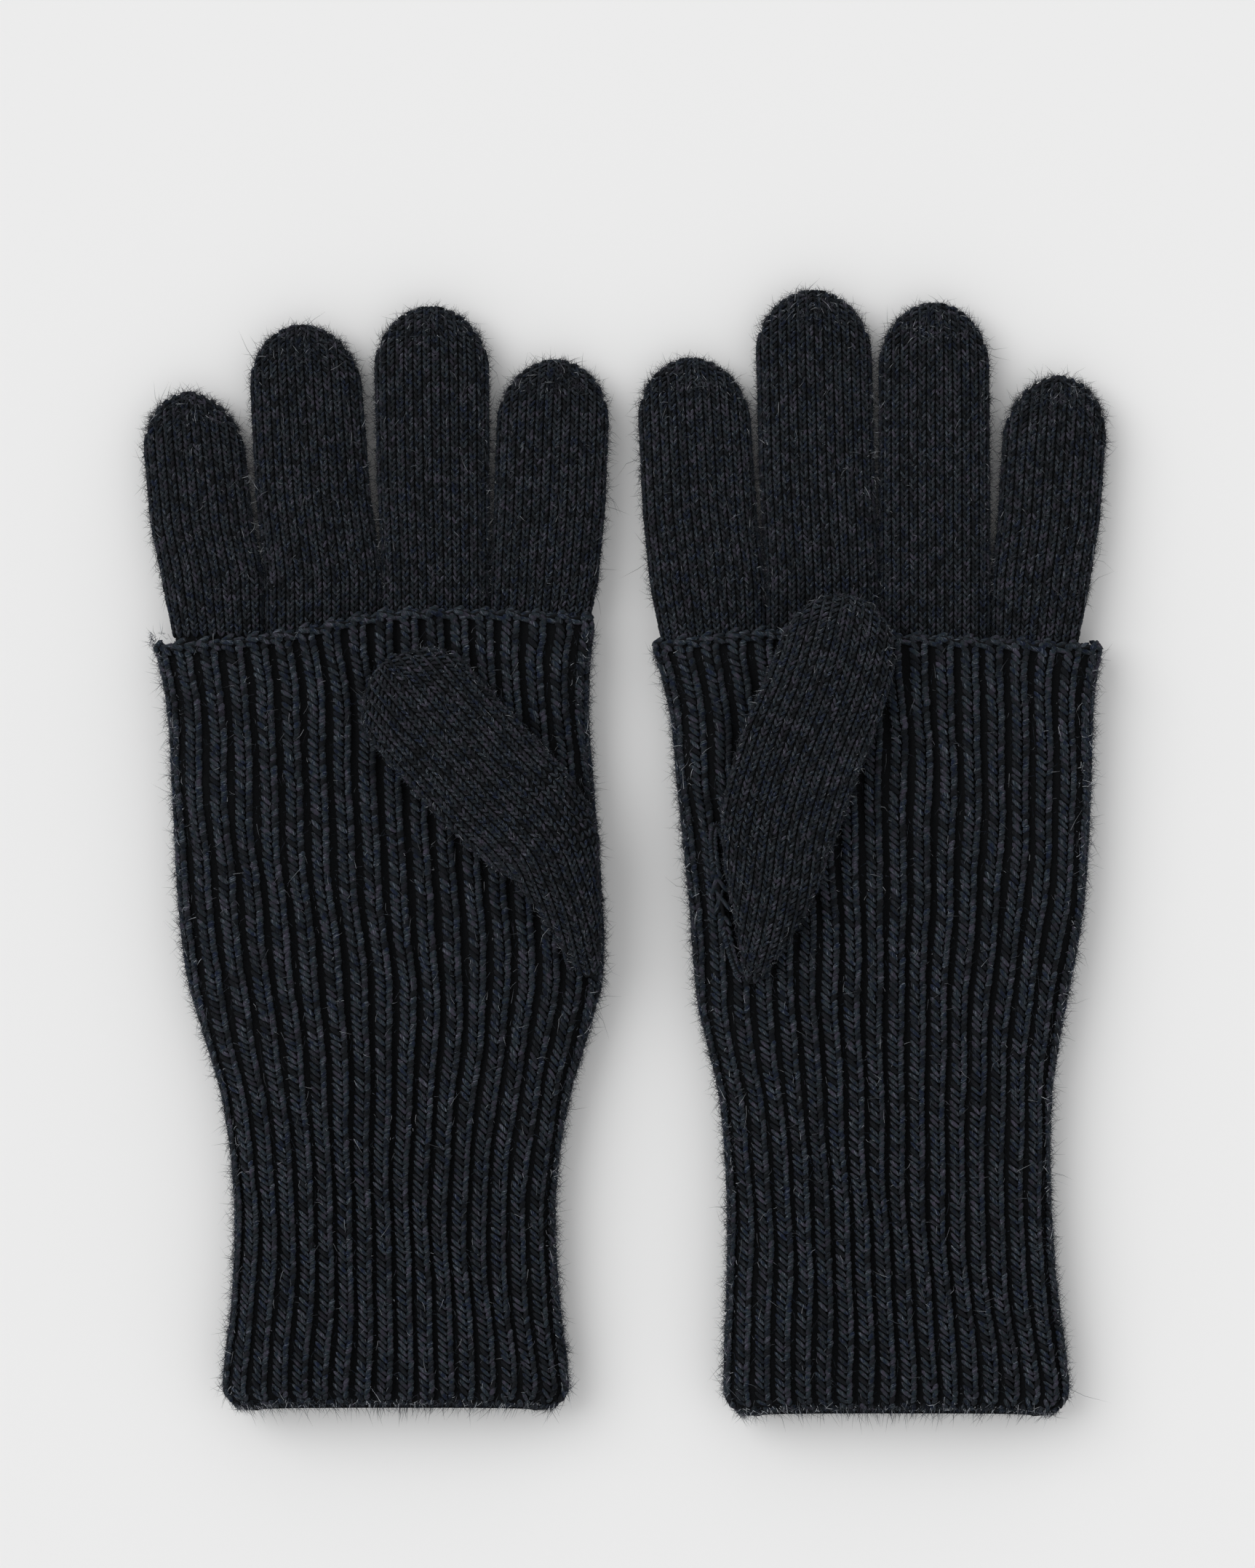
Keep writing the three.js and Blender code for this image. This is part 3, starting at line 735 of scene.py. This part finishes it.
    # the finished edge of the thumb's slit
    turn = np.linspace(0, 2 * math.pi, 60, endpoint=False)
    ring = (middle + axis * (np.sign(np.sin(turn)) * np.abs(np.sin(turn)) ** 0.6 * (SLIT_HALF + 0.4))[:, None]
            + aside * (np.cos(turn) * (SLIT_WIDTH / 2 + 0.3))[:, None])
    ring[:, 2] = tube.point(np.interp(ring[:, 1], tube.centre[:, 1], np.arange(tube.count + 1.0)),
                            np.zeros(60))[:, 2] - 0.8
    binding(ring, f"{hand}_thumb_slit_binding", hand)


def chain_legs(path, out, width, tone=1.0):
    """Flat loops along a closed path, each of two legs like an arrowhead."""
    run = unit(np.roll(path, -1, 0) - np.roll(path, 1, 0))
    step = np.linalg.norm(np.roll(path, -1, 0) - path, axis=1)
    across = unit(np.cross(out, run))
    groups = []
    for sign in (-1, 1):
        way = unit(run + across * sign * 0.5 + rng.normal(0, 0.04, run.shape))
        here = path + across * sign * width * 0.26
        size = np.stack([np.full(len(path), width * 0.30), np.full(len(path), width * 0.32),
                         step * 0.80], 1)
        face = unit(out + across * sign * 0.3)
        groups.append((here, way, face, size, np.clip(tone * rng.normal(0.86, 0.1, len(path)), 0, 1)))
    return joined(*groups)


def cord_ground(path, out, radius, around=8):
    """A thin closed ring under a chain of loops."""
    run = unit(np.roll(path, -1, 0) - np.roll(path, 1, 0))
    across = unit(np.cross(out, run))
    up = np.cross(run, across)
    turn = np.linspace(0, 2 * math.pi, around, endpoint=False)
    points = (path[:, None] + across[:, None] * np.cos(turn)[None, :, None] * radius
              + up[:, None] * np.sin(turn)[None, :, None] * radius)
    n = len(path)
    faces = [(i * around + j, i * around + (j + 1) % around,
              ((i + 1) % n) * around + (j + 1) % around, ((i + 1) % n) * around + j)
             for i in range(n) for j in range(around)]
    return points.reshape(-1, 3), faces


def chain(tube, row, share, node, hand):
    crest = np.cos((share * RIBS - 0.5) * 2 * math.pi)
    here, along, _, out = tube.frame(row - 0.5 + 0.6 * crest, share, 1.35 - 0.75 * crest)
    out = unit(out + along * 0.9)
    legs = chain_legs(here, out, 2.5)
    piece = knitted(node + "_knit", cord_ground(here, out, 0.5), legs, None, RIB_WOOL)
    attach(piece, f"{hand}_sleeve")
    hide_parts(node)


def binding(ring, node, hand):
    out = np.tile([0, 0, 1.0], (len(ring), 1))
    legs = chain_legs(ring, out, 2.3, tone=0.9)
    piece = knitted(node + "_knit", cord_ground(ring, out, 0.4), legs, None, RIB_WOOL)
    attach(piece, f"{hand}_sleeve")
    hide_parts(node)


def glove_hand_pieces(hand):
    """The glove's hand and its cuff, inside the sleeve."""
    for part in ("glove_hand", "glove_cuff"):
        node = f"{hand}_{part}"
        low, high = low_high(node)
        y = np.linspace(low[1], high[1] - (14 if part == "glove_hand" else 0), 60)
        left, right = sides([node], np.clip(y, low[1] + 0.2, high[1] - 0.2))
        bottom = low[2]
        top = low_high(f"{hand}_glove_cuff")[1][2]
        thick = (top - bottom) / 2
        centre = np.stack([(left + right) / 2, y, np.full(len(y), bottom + thick)], 1)
        tube = Tube(centre, np.tile([1.0, 0, 0], (len(y), 1)), (right - left) / 2,
                    np.full(len(y), thick), GLOVE_POWER, PLAIN_ROW)
        shares = np.linspace(-2, 2, 96, endpoint=False)
        rows = np.arange(0, tube.count + 1, 2.0)
        fabric = shell(grid(tube, rows, shares, FINGER_GROUND), grid(tube, rows, shares, GLOVE_WALL))
        row, share = np.meshgrid(np.arange(1.0, tube.count), (np.arange(4 * 18) + 0.5) / 18 - 2,
                                 indexing="ij")
        # the cuff lies deep in the sleeve, so only its mouth has its stitches; further in, its bare ground
        # shows the near-black ground colour, painted shade
        seen = row < (CUFF_ROWS_SEEN if part == "glove_cuff" else tube.count)
        row, share = row[seen], share[seen]
        legs = laid(tube, row, share, tube.quarter(row) / 18, PLAIN_ROW, PLAIN_LEGS)
        piece = knitted(node + "_knit", fabric, legs, None, PLAIN_WOOL, (3, 2))
        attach(piece, f"{hand}_hand")
        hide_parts(node)


for hand in HANDS:
    for finger in FINGERS:
        finger_piece(hand, finger)
    thumb_piece(hand)
    sleeve_pieces(hand)
    glove_hand_pieces(hand)

# Floor, light and camera, in metres
FLOOR_HALF = 12
VIEW_WIDTH = 0.385         # what the camera takes in across the tops of the gloves
VIEW_PLANE = 0.008
LENS = 100
SENSOR = 36
floor_mesh = bpy.data.meshes.new("pale floor")
corners = [(x * FLOOR_HALF, y * FLOOR_HALF, 0) for x, y in ((-1, -1), (1, -1), (1, 1), (-1, 1))]
floor_mesh.from_pydata(corners, [], [(0, 1, 2, 3)])
floor = bpy.data.objects.new("pale_floor", floor_mesh)
bpy.context.scene.collection.objects.link(floor)
paint = bpy.data.materials.new("matt white card")
paint.use_nodes = True
shader = paint.node_tree.nodes["Principled BSDF"]
shader.inputs["Base Color"].default_value = linear("#e9e9e9")
shader.inputs["Roughness"].default_value = 0.9
shader.inputs["Specular IOR Level"].default_value = 0.1
floor_mesh.materials.append(paint)

sun = bpy.data.lights.new("wide window", "SUN")
sun.energy = 1.2
sun.angle = math.radians(48)
lamp = bpy.data.objects.new("wide window", sun)
lamp.rotation_euler = Vector((2.6, -1.5, -3.0)).to_track_quat("-Z", "Y").to_euler()
bpy.context.scene.collection.objects.link(lamp)
world = bpy.data.worlds.new("soft room")
world.use_nodes = True
world.node_tree.nodes["Background"].inputs["Color"].default_value = (1, 1, 1, 1)
world.node_tree.nodes["Background"].inputs["Strength"].default_value = 0.76
bpy.context.scene.world = world
bpy.context.scene.view_settings.view_transform = "Standard"

camera_data = bpy.data.cameras.new("overhead")
camera_data.lens = LENS
camera_data.sensor_width = SENSOR
camera = bpy.data.objects.new("overhead", camera_data)
camera.location = (0.0007, 0.01705, VIEW_PLANE + VIEW_WIDTH * LENS / SENSOR)
bpy.context.scene.collection.objects.link(camera)
bpy.context.scene.camera = camera
